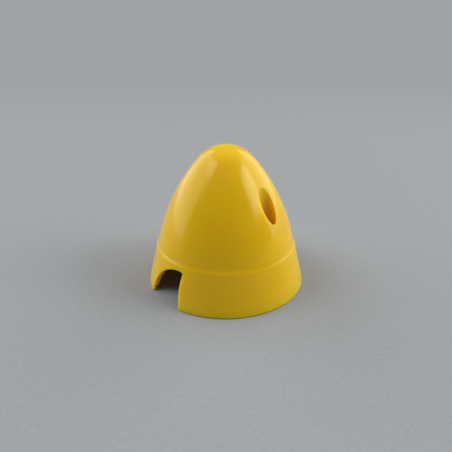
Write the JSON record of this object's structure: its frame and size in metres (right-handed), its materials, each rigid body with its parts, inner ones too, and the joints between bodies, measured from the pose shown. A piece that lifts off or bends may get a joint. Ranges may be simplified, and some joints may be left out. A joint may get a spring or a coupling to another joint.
{
  "type": "propeller spinner cone",
  "caption": "Hollow plastic ogive spinner cone with a proud conical skirt, shaped blade slots cut up from the rim and deep axial screw wells beside the nose.",
  "frame": {"origin": "centre of the rim's circle, in the plane the rim rests on", "axes": "+Z along the spin axis towards the nose, +X through the middle of one blade slot"},
  "size_m": [0.0492, 0.0508, 0.0448],
  "materials": {
    "cone_plastic": "glossy as moulded"
  },
  "bodies": {
    "root": {"spinner_cone": "cone_plastic"}
  },
  "joints": []
}
